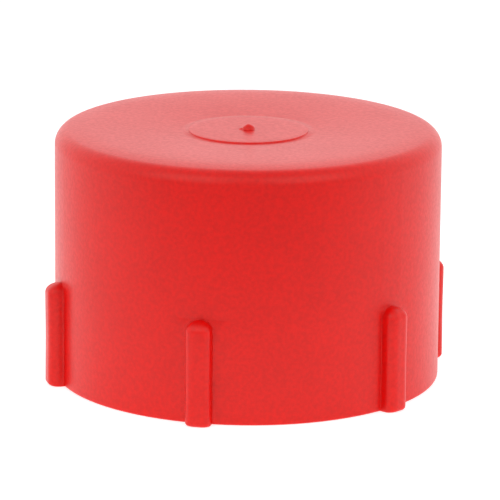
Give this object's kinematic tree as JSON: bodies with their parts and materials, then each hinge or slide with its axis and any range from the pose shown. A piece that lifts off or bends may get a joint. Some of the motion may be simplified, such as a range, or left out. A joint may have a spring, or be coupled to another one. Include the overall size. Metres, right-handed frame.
{
  "type": "threaded protection cap",
  "caption": "Round plastic screw cap with a closed end, short grip ribs at its open rim and an inside thread that covers a threaded fitting.",
  "frame": {"origin": "centre of the open rim, on the plane that the cap stands on", "axes": "+Z from the open rim to the closed end, along the thread's axis; -Y is the front"},
  "size_m": [0.0396, 0.0402, 0.0251],
  "materials": {
    "red_polyethylene": "satin moulded polyethylene with a soft sheen"
  },
  "bodies": {
    "root": {"threaded_cap": "red_polyethylene"}
  },
  "joints": []
}
